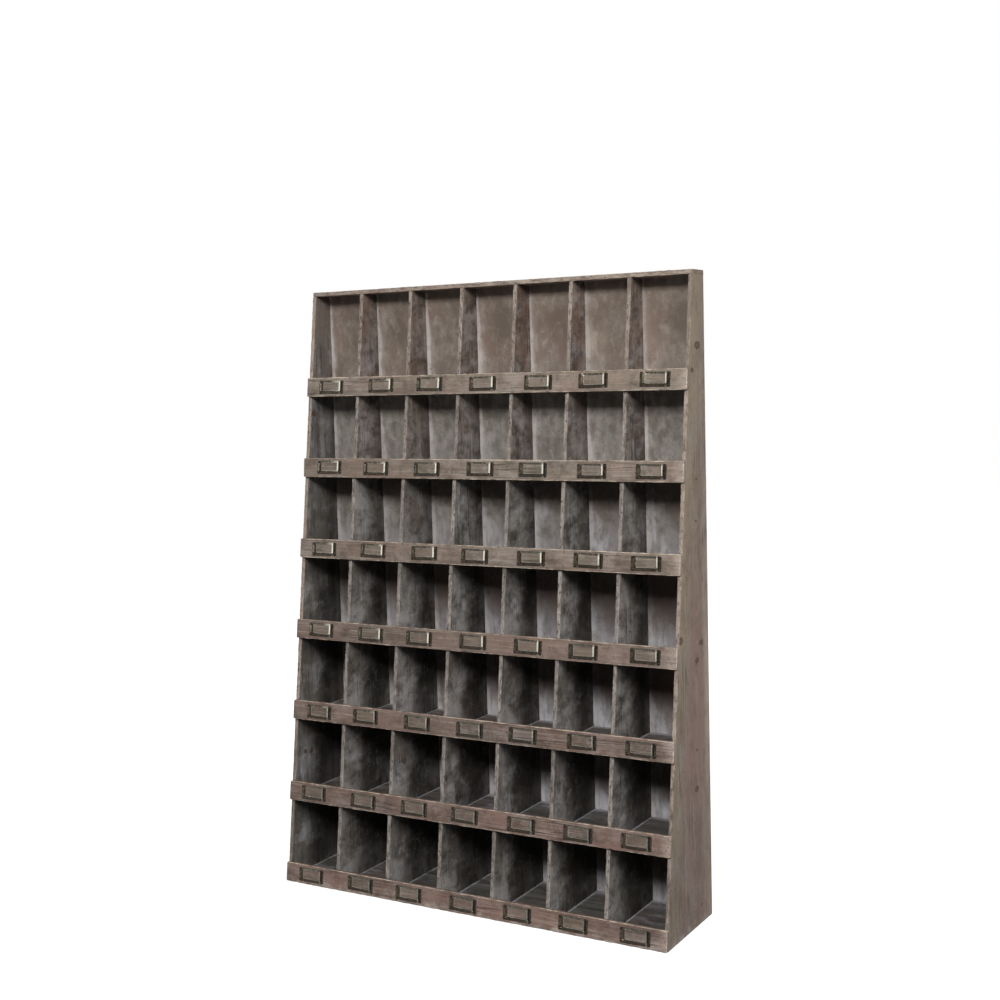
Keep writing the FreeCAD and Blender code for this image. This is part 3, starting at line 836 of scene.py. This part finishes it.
rear = panel.ramp(panel.axis("Y"), BACK_FACE + MM, BACK_FACE + 3 * MM)
rear_drift = panel.noise((3, 3, 1.6), detail=2, colour=True, shift=(0.8, 5.1, 3.3))
rear_drift = panel.vector("SUBTRACT", rear_drift, (0.5, 0.5, 0.5))
rear_line = panel.vector("MULTIPLY_ADD", rear_drift, (0.09, 0, 0), panel.place)
rear_grain = panel.noise(
    (120, 120, 3.5), detail=4, roughness=0.66, shift=(1.4, 0.2, 0.7), at=rear_line,
)
rear_cloud = panel.noise((7, 7, 3), detail=4, roughness=0.62, shift=(9.1, 4.4, 2.2))
bare_tone = panel.blend(panel.ramp(rear_grain, 0.36, 0.64), paint(92, 75, 60), paint(136, 116, 94))
bare_tone = panel.blend(panel.ramp(rear_cloud, 0.45, 0.68, 0, 0.65), bare_tone, paint(84, 70, 60))
bare_tone = panel.blend(panel.product(stain, 0.5), bare_tone, paint(60, 48, 40))
panel.lay(bare_tone, rear)

panel.set("Base Color", panel.colour)
panel.set("Roughness", panel.ramp(middling, 0.3, 0.7, 0.65, 0.88))
panel.set("Specular IOR Level", WOOD_GLOSS)
height = panel.plus(panel.product(specks, 0.4), scratches, -0.5)
height = panel.plus(height, middling, 0.8)
height = panel.plus(height, panel.product(rear_grain, rear), 0.8)
panel.relief(height, 0.8 * MM, 0.7)
dress_solid("back_panel", panel)


# ------------------------------------------------
# Top board
# A narrow softwood board that laps the sides and the back, grain sideways,
# nailed down into each upright. Its front edge and corners are worn round.

TOP_LOW, TOP_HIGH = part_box("top_board")
TOP_REACH = 4 * MM

top_tones = side_tones | paints(
    body=(122, 110, 99), deep=(106, 91, 82), warm=(130, 99, 88), pale=(142, 130, 117),
    milk=(138, 130, 124), edge=(146, 134, 121), edge_deep=(104, 90, 81),
)
top_wood = washed_softwood(
    "top_wood", GRAIN_SIDEWAYS, top_tones, wash=0.35, grime=0.4, figure=0.8,
)


def top_wear(place):
    from_front = behind_rake(place)
    from_end = TOP_HIGH.x - abs(place.x)
    from_lower_arris = min(from_front, from_end) + place.z - TOP_LOW.z
    return near_arris(TOP_REACH, from_front, from_end, TOP_HIGH.z - place.z, from_lower_arris)


top = copy_of_solid("top_lid_board", "top_board")
cross_cut(top, rake_planes(TOP_REACH), ACROSS_RAKE)
cross_cut(top, [(0, TOP_HIGH.y - TOP_REACH, 0)], (0, 1, 0))
cross_cut(top, [SIDEWAYS * (end * (TOP_HIGH.x - TOP_REACH)) for end in (-1, 1)], SIDEWAYS)
cross_cut(top, spaced(TOP_LOW.x, TOP_HIGH.x, SIDEWAYS), SIDEWAYS)
rub_arrises(top, wear_and_light_of(top, top_wear), depth=1.4 * MM, knock_size=14 * MM)
top.data.materials.append(top_wood.material)
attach(top, "root")
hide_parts("top_board")


# ------------------------------------------------
# The seven lip rails
# Planed softwood strips nailed across the raking front, grain sideways. The
# wash is warm and brown on the face and rubbed bright along the arrises.

RAIL_HEIGHT = 45.5 * MM
RAIL_THICKNESS = 8.5 * MM
PLANED_THICKNESS = RAIL_THICKNESS - 0.15 * MM
RAIL_LENGTH = SIDE_HIGH.x * 2
RAIL_CORNER = 3.2 * MM
RAIL_ARRIS = 1.4 * MM
RAIL_REACH = 4 * MM
CARD_MIDDLE = 14.3 * MM

rail_tones = paints(
    body=(118, 100, 91), deep=(92, 73, 65), warm=(118, 92, 83), pale=(152, 138, 125),
    milk=(144, 134, 130), soil=(50, 38, 33), edge=(196, 181, 162), edge_deep=(138, 121, 108),
)
faded_and_lit_rail_tones = paints(
    body=(124, 113, 101), deep=(96, 85, 74), warm=(120, 103, 93), pale=(158, 148, 134),
    milk=(150, 143, 136), soil=(56, 47, 40), edge=(204, 190, 170), edge_deep=(148, 133, 118),
)


def faded_and_lit_by_height(wood):
    """The upper rails have stood in the light and lost the red of their stain, and are painted
    lighter too, as painted light that falls off toward the floor.
    """
    return by_row(wood, 1, 6)


def darker_left(wood):
    """Darker towards the left end, on some of the rails."""
    by_rail = wood.ramp(wood.noise((1.5, 0, 7), detail=0, shift=(0, 0, 0.4)), 0.4, 0.6)
    to_left = wood.ramp(wood.axis("X"), 0.05, -0.35)
    return wood.product(to_left, by_rail, 0.5), paint(88, 72, 61)


def dull_middle_rails(wood):
    """The fourth and fifth rails have greyed more than their neighbours."""
    off_middle = wood.math("ABSOLUTE", wood.math("SUBTRACT", wood.axis("Z"), 2.6 * ROW_STEP))
    return wood.ramp(off_middle, 0.9 * ROW_STEP, 0.7 * ROW_STEP, 0, 0.35), paint(92, 79, 71)


def bleached_right(wood):
    wander = wood.noise((30, 30, 30), detail=4, roughness=0.65, shift=(2, 2, 2))
    share = wood.ramp(wood.plus(wood.axis("X"), wander, 0.05), 0.485, 0.520)
    return wood.product(share, 0.6), paint(164, 150, 140)


def in_holder_windows(wood):
    """The wood in the holders' windows, a little darker and greener than the rest of the rail."""
    off_middle = wood.math("SUBTRACT", from_cell_left(wood), CELL_WIDTH / 2)
    off_height = wood.math("SUBTRACT", above_shelf(wood), CARD_MIDDLE)
    share = wood.product(
        wood.ramp(wood.math("ABSOLUTE", off_middle), 0.030, 0.024),
        wood.ramp(wood.math("ABSOLUTE", off_height), 0.013, 0.010),
        by_row(wood, 6, 3, 0.3, 0.48),
    )
    return share, paint(84, 79, 66)


rail_wood = washed_softwood(
    "rail_wood", GRAIN_SIDEWAYS, rail_tones, wash=0.4, grime=0.5, figure=0.75,
    second_tones=faded_and_lit_rail_tones, second_at=faded_and_lit_by_height,
    zones=(darker_left, dull_middle_rails, bleached_right, scuffed_foot, in_holder_windows),
    cloudy=0.4, scuffs=0.25,
)


def rail_wear(place):
    from_end = RAIL_LENGTH / 2 - abs(place.x)
    from_edge = min(place.z, RAIL_HEIGHT - place.z)
    return near_arris(RAIL_REACH, place.y + PLANED_THICKNESS, from_end, from_edge)


def upright_block(width, thickness, height):
    """A block that stands at the origin, with its back on the plane of the y axis's zero."""
    bpy.ops.mesh.primitive_cube_add(size=1, location=(0, -thickness / 2, height / 2))
    block = bpy.context.object
    block.scale = (width, thickness, height)
    apply_placing()
    return block


def lay_on_rake(piece, foot):
    """Leans a piece that was made upright against the raking front, at a height."""
    select_only(piece)
    apply_placing()
    piece.location = (0, SIDE_LOW.y + RAKE * foot, foot)
    piece.rotation_euler = (-LEAN, 0, 0)
    apply_placing()


pattern = upright_block(RAIL_LENGTH, PLANED_THICKNESS, RAIL_HEIGHT)
bevel_edges(pattern, lambda one, other: abs(one.y - other.y) > MM, RAIL_CORNER, segments=4)
bevel_edges(pattern, lambda one, other: max(one.y, other.y) < -MM, RAIL_ARRIS, segments=3)
cross_cut(pattern, [(0, RAIL_REACH - PLANED_THICKNESS, 0)], (0, 1, 0))
cross_cut(pattern, [UP * RAIL_REACH, UP * (RAIL_HEIGHT - RAIL_REACH)], UP)
ends = [SIDEWAYS * (end * (RAIL_LENGTH / 2 - RAIL_REACH)) for end in (-1, 1)]
cross_cut(pattern, ends, SIDEWAYS)
cross_cut(pattern, spaced(-RAIL_LENGTH / 2, RAIL_LENGTH / 2, SIDEWAYS), SIDEWAYS)
for number in range(1, ROWS + 1):
    rail = new_piece(f"lip_rail_{number}", pattern.data.copy())
    shares = wear_and_light_of(rail, rail_wear)
    lay_on_rake(rail, (ROWS - number) * ROW_STEP)
    rub_arrises(rail, shares, depth=1.2 * MM, knock_size=12 * MM)
    rail.data.materials.append(rail_wood.material)
    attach(rail, "root")
    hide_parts(f"rail_{number}")
bpy.data.objects.remove(pattern)


# ------------------------------------------------
# Brads
# Darkened steel wire, driven flush through the rails, sides, top and back.

steel = Finish("brad_steel")
rust = steel.noise((400, 400, 400), detail=3)
rusty = steel.ramp(rust, 0.4, 0.6)
steel.set("Base Color", steel.blend(rusty, paint(52, 46, 42), paint(84, 62, 50)))
steel.set("Metallic", 0.5)
steel.set("Roughness", steel.ramp(rust, 0.3, 0.7, 0.5, 0.8))
steel.relief(rust, 0.2 * MM)
for brads in ("rail_brads", "side_brads", "top_brads", "back_brads"):
    dress_solid(brads, steel)


# ------------------------------------------------
# The forty-nine card holders
# Each is pressed from one sheet of brass, antiqued nearly black-green, with
# two flat flanges, a raised moulding on three sides and a flat strip at the
# top, and is held to its rail by four small round-headed pins.

HOLDER_WIDTH = 70 * MM
HOLDER_HEIGHT = 32 * MM
HOLDER_SHEET = 0.8 * MM
FLANGE_WIDTH = 6 * MM
WINDOW_WIDTH = 45 * MM
WINDOW_SILL = 7.6 * MM
STRIP_HEIGHT = 4.4 * MM
CROWN_RISE = 1.7 * MM
SHOULDER_RISE = 0.95 * MM
RIM_RISE = 0.3 * MM
MOULDING_HALF = HOLDER_WIDTH / 2 - FLANGE_WIDTH
CROWN_HALF = MOULDING_HALF - 0.8 * MM
WINDOW_HALF = WINDOW_WIDTH / 2
SHOULDER_HALF = (CROWN_HALF + WINDOW_HALF) / 2
RIM_WIDTH = 1.0 * MM
RIM_HALF = WINDOW_HALF + RIM_WIDTH
SILL_CROWN = 5 * MM
WINDOW_HEAD = HOLDER_HEIGHT - STRIP_HEIGHT
FLANGE_CORNER = 2.2 * MM
FLANGE_ARRIS = 0.2 * MM
PIN_RADIUS = 2.9 * MM
PIN_FLATNESS = 0.5
PIN_INSET = 3.6 * MM
LARGEST_TILT = math.radians(0.7)
HAIR = 0.05 * MM


def in_window(face):
    """Whether a face of the sheet lies flat in the window."""
    middle = face.calc_center_median()
    between = abs(middle.x) < WINDOW_HALF and WINDOW_SILL < middle.z < WINDOW_HEAD
    return between and abs(face.normal.y) > 0.9


def on_crown(place):
    on_bar = abs(abs(place.x) - CROWN_HALF) < HAIR and place.z > SILL_CROWN - HAIR
    return on_bar or (abs(place.z - SILL_CROWN) < HAIR and abs(place.x) < CROWN_HALF)


def on_shoulder(place):
    return abs(abs(place.x) - SHOULDER_HALF) < HAIR and place.z > WINDOW_SILL - HAIR


def on_rim(place):
    return abs(abs(place.x) - RIM_HALF) < HAIR and place.z > WINDOW_SILL - HAIR


def lift(piece, chosen, rise):
    """Moves the corners of the sheet's front that a test picks out forward, off the rail."""
    select_parts(piece, "VERT", lambda corner: (
        corner.co.y < HAIR - HOLDER_SHEET and chosen(corner.co)
    ))
    bpy.ops.transform.translate(value=(0, -rise, 0))
    bpy.ops.object.mode_set(mode="OBJECT")


def at_flange_corner(one, other):
    through_sheet = abs(one.y - other.y) > HOLDER_SHEET / 2
    return abs(one.x) > MOULDING_HALF + MM and through_sheet


def on_flange_rim(one, other):
    return abs(one.x) > MOULDING_HALF and max(one.y, other.y) < HAIR - HOLDER_SHEET


pattern = upright_block(HOLDER_WIDTH, HOLDER_SHEET, HOLDER_HEIGHT)
folds = (MOULDING_HALF, CROWN_HALF, SHOULDER_HALF, RIM_HALF, WINDOW_HALF)
cross_cut(pattern, [SIDEWAYS * (hand * fold) for fold in folds for hand in (-1, 1)], SIDEWAYS)
rises = (SILL_CROWN, WINDOW_SILL - RIM_WIDTH, WINDOW_SILL, WINDOW_HEAD, WINDOW_HEAD + RIM_WIDTH)
cross_cut(pattern, [UP * rise for rise in rises], UP)
bevel_edges(pattern, at_flange_corner, FLANGE_CORNER, segments=3)
select_parts(pattern, "FACE", in_window)
bpy.ops.mesh.bridge_edge_loops()
bpy.ops.object.mode_set(mode="OBJECT")
lift(pattern, on_crown, CROWN_RISE)
lift(pattern, on_shoulder, SHOULDER_RISE)
lift(pattern, on_rim, RIM_RISE)
bevel_edges(pattern, on_flange_rim, FLANGE_ARRIS, segments=2)

brass = Finish("holder_metal")
tarnish = brass.noise((190, 190, 190), detail=4, roughness=0.65)
green = brass.noise((45, 45, 45), detail=2, shift=(4, 1, 7))
fine = brass.noise((900, 900, 900), detail=2)
# Each corner's kept share: rubbing, and on the holders also painted highlight, reflection and
# shade.
wear_and_light_share = brass.attribute("rubbed")
wear_and_light_level = brass.plus(wear_and_light_share, tarnish, 0.6)
brass.colour = brass.blend(brass.ramp(tarnish, 0.38, 0.64), paint(44, 35, 27), paint(66, 56, 44))
brass.lay(paint(46, 52, 44), brass.ramp(green, 0.5, 0.64, 0, 0.4))
# Pale bare brass, which on the right bar also stands as a painted reflection.
brass.lay(paint(122, 122, 112), brass.ramp(wear_and_light_level, 0.5, 1.3, 0, 0.85))
# Near black: patina in the folds, the dark pins, and painted shade along the window's lips.
brass.lay(paint(20, 17, 14), brass.ramp(wear_and_light_level, 0.25, -0.4, 0, 0.85))
# A near-white painted highlight along the window's left rim.
brass.lay(paint(196, 194, 184), brass.ramp(wear_and_light_level, 1.3, 1.8))
brass.set("Base Color", brass.colour)
brass.set("Metallic", 1.0)
brass.set("Coat Weight", 0.2)
brass.set("Coat Roughness", 0.12)
dull_grime = brass.ramp(wear_and_light_share, -0.11, -0.2, 0, 0.28)
polish = brass.plus(brass.ramp(tarnish, 0.3, 0.7, 0.16, 0.3), dull_grime)
brass.set("Roughness", polish)
dents = brass.plus(tarnish, fine, 0.3)
brass.relief(dents, 0.1 * MM, 0.35)

# How pale each part of a card holder is painted, from black to bare brass. The left rim's share is
# a painted highlight and the crown's a slight one, the card side's is rubbing and a painted
# reflection, and the lips' is painted shade.
LEFT_RIM_HIGHLIGHT_SHARE = 1.5
CARD_SIDE_WEAR_AND_REFLECTION_SHARE = 0.75
STRIP_SHARE = 0.45
SLOPE_SHARE = -0.1
CROWN_HIGHLIGHT_SHARE = 0.1
FLANGE_SHARE = 0.35
SILL_SHARE = -0.2
LIP_SHADE_SHARE = -0.4
PIN_SHARE = -0.6
GRIME_SHARE = -1.0


def holder_wear_and_light(place):
    """How bare the brass is, and where light and shade are painted on it: paler on the right
    bar, where cards are slid in and out and a painted reflection lies, a painted highlight on
    the window's left rim and a slight one on the crown, painted shade along the window's top
    and bottom lips and the sill's foot, and black patina in the folds."""
    from_middle = abs(place.x)
    from_lips = min(abs(place.z - WINDOW_HEAD), abs(place.z - WINDOW_SILL))
    beside_window = WINDOW_SILL - HAIR < place.z < WINDOW_HEAD + HAIR
    if from_middle > MOULDING_HALF + HAIR:
        return FLANGE_SHARE
    if from_middle > MOULDING_HALF - HAIR:
        return GRIME_SHARE
    if place.z < SILL_CROWN + HAIR and from_middle < WINDOW_HALF + HAIR:
        return SILL_SHARE if place.z > HAIR else LIP_SHADE_SHARE
    if place.y < -HOLDER_SHEET - CROWN_RISE + HAIR:
        return CROWN_HIGHLIGHT_SHARE
    if from_lips < HAIR and from_middle < WINDOW_HALF:
        return LIP_SHADE_SHARE
    if abs(from_middle - WINDOW_HALF) < HAIR and beside_window:
        return LEFT_RIM_HIGHLIGHT_SHARE if place.x < 0 else CARD_SIDE_WEAR_AND_REFLECTION_SHARE
    if place.z > WINDOW_HEAD:
        return STRIP_SHARE
    return CARD_SIDE_WEAR_AND_REFLECTION_SHARE if place.x > WINDOW_HALF else SLOPE_SHARE


bpy.ops.mesh.primitive_uv_sphere_add(segments=12, ring_count=8, radius=PIN_RADIUS)
pin = bpy.context.object
pin.rotation_euler.x = math.radians(90)
apply_placing()
bpy.ops.object.mode_set(mode="EDIT")
bpy.ops.mesh.select_all(action="SELECT")
bpy.ops.mesh.bisect(plane_co=(0, 0, 0), plane_no=(0, 1, 0), use_fill=True, clear_outer=True)
bpy.ops.object.mode_set(mode="OBJECT")
pin.scale.y = PIN_FLATNESS
apply_placing()


def joined(pieces, name):
    bpy.ops.object.select_all(action="DESELECT")
    for piece in pieces:
        piece.select_set(True)
    bpy.context.view_layer.objects.active = pieces[0]
    bpy.ops.object.join()
    pieces[0].name = name
    return pieces[0]


def seat_on_rail(solid, column, foot):
    """Where a holder of a row's solids sits on its rail, when that rail stands upright."""
    middle = (column - COLUMNS // 2) * CELL_STEP
    own = [place for place in solid if abs(place.x - middle) < CELL_STEP / 2]
    centre_x = (min(place.x for place in own) + max(place.x for place in own)) / 2
    bottom = min(
        (place.y - SIDE_LOW.y - RAKE * foot) * math.sin(LEAN) + (place.z - foot) * math.cos(LEAN)
        for place in own
    )
    return Vector((centre_x, -RAIL_THICKNESS, bottom))


for number in range(1, ROWS + 1):
    foot = (ROWS - number) * ROW_STEP
    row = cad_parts[f"label_holders_row_{number}"]
    solid = [Vector(corner.co) for corner in row.data.vertices]
    pins = []
    for column in range(COLUMNS):
        holder = new_piece(f"card_holder_{number}_{column + 1}", pattern.data.copy())
        keep_wear_and_light(holder, wear_and_light_of(holder, holder_wear_and_light))
        seat = seat_on_rail(solid, column, foot)
        holder.location = seat
        holder.rotation_euler.y = LARGEST_TILT * math.sin(3.1 * column + 1.7 * number)
        lay_on_rake(holder, foot)
        bpy.ops.object.shade_smooth_by_angle(angle=math.radians(18))
        holder.data.materials.append(brass.material)
        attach(holder, "root")
        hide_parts(f"label_holders_row_{number}")
        for across in (-1, 1):
            for up in (PIN_INSET, HOLDER_HEIGHT - PIN_INSET):
                head = new_piece("pin", pin.data.copy())
                to_side = across * (HOLDER_WIDTH / 2 - PIN_INSET)
                head.location = seat + Vector((to_side, -HOLDER_SHEET, up))
                lay_on_rake(head, foot)
                pins.append(head)
    row_pins = joined(pins, f"holder_pins_row_{number}")
    select_only(row_pins)
    bpy.ops.object.shade_smooth_by_angle(angle=math.radians(50))
    keep_wear_and_light(row_pins, [PIN_SHARE] * len(row_pins.data.vertices))
    row_pins.data.materials.append(brass.material)
    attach(row_pins, "root")
bpy.data.objects.remove(pattern)
bpy.data.objects.remove(pin)


# ------------------------------------------------
# Floor, lights and camera
# A plain pale studio: a broad soft lamp high in front, weaker ones at the
# right, at the left and behind, and a white surround that hardly lights it.

scene = bpy.context.scene
scene.view_settings.view_transform = "Standard"


def seen_as_background(tree):
    """1 for rays from the camera, and for those that metal or glass sends on, else 0."""
    rays = tree.nodes.new("ShaderNodeLightPath")
    seen = rays.outputs["Is Camera Ray"]
    for kind in ("Is Glossy Ray", "Is Transmission Ray"):
        either = tree.nodes.new("ShaderNodeMath")
        either.operation = "MAXIMUM"
        tree.links.new(seen, either.inputs[0])
        tree.links.new(rays.outputs[kind], either.inputs[1])
        seen = either.outputs[0]
    return seen


bpy.ops.mesh.primitive_plane_add(size=24, location=(0, 0, 0))
floor = bpy.context.object
floor.name = "studio_floor"

floor_paint = Finish("floor_paint")
floor_paint.set("Base Color", (0.3, 0.3, 0.3, 1))
floor_paint.set("Roughness", 0.9)
floor_paint.set("Specular IOR Level", 0.0)
glow = floor_paint.node("Emission")
away = floor_paint.vector("LENGTH", floor_paint.place, (0, 0, 0))
whiteness = floor_paint.ramp(away, 0.9, 2.6, 0.89, 1.0)
seen = seen_as_background(floor_paint.tree)
floor_paint.fill(glow.inputs["Strength"], floor_paint.product(seen, whiteness))
together = floor_paint.node("AddShader", floor_paint.shader.outputs[0], glow.outputs[0])
surface = floor_paint.tree.nodes["Material Output"].inputs["Surface"]
floor_paint.fill(surface, together.outputs[0])
floor.data.materials.append(floor_paint.material)

AMBIENT_LEVEL = 0.045
world = bpy.data.worlds.new("studio")
world.use_nodes = True
scene.world = world
backdrop = world.node_tree.nodes["Background"]
brightness = world.node_tree.nodes.new("ShaderNodeMapRange")
world.node_tree.links.new(seen_as_background(world.node_tree), brightness.inputs["Value"])
brightness.inputs["To Min"].default_value = AMBIENT_LEVEL
brightness.inputs["To Max"].default_value = 1.0
world.node_tree.links.new(brightness.outputs[0], backdrop.inputs["Strength"])
backdrop.inputs["Color"].default_value = (1, 1, 1, 1)


def softbox(name, place, target, size, watts):
    lamp = bpy.data.lights.new(name, "AREA")
    lamp.shape = "RECTANGLE"
    lamp.size, lamp.size_y = size
    lamp.energy = watts
    stand = bpy.data.objects.new(name, lamp)
    bpy.context.collection.objects.link(stand)
    stand.location = place
    stand.rotation_euler = (Vector(target) - Vector(place)).to_track_quat("-Z", "Y").to_euler()
    return stand


softbox("key_lamp", (1.0, -4.2, 3.25), (0, 0, 0.8), (1.2, 1.0), 215)
softbox("right_lamp", (3.1, -1.8, 2.5), (0.4, 0, 0.9), (1.2, 1.2), 98)
softbox("rear_lamp", (-2.4, 2.6, 2.4), (0, 0, 0.8), (1.5, 1.5), 120)
gleam = softbox("left_gleam", (-2.6, -1.05, 1.45), (0, 0, 1.3), (1.7, 2.3), 60)
gleam.visible_diffuse = False

CAMERA_PLACE = Vector((1.67296, -2.78028, 1.19155))
CAMERA_TURN = 0.52809
CAMERA_TILT = -0.08615
CAMERA_ROLL = -0.02626
FOCAL_PIXELS = 1453.41
PICTURE_PIXELS = 1000

turned = Matrix.Rotation(CAMERA_TURN, 3, "Z")
turned = turned @ Matrix.Rotation(math.radians(90) + CAMERA_TILT, 3, "X")
turned = turned @ Matrix.Rotation(CAMERA_ROLL, 3, "Z")

camera = bpy.data.objects.new("camera", bpy.data.cameras.new("camera"))
bpy.context.collection.objects.link(camera)
camera.data.lens = camera.data.sensor_width * FOCAL_PIXELS / PICTURE_PIXELS
camera.location = CAMERA_PLACE
camera.rotation_mode = "QUATERNION"
camera.rotation_quaternion = turned.to_quaternion()
scene.camera = camera
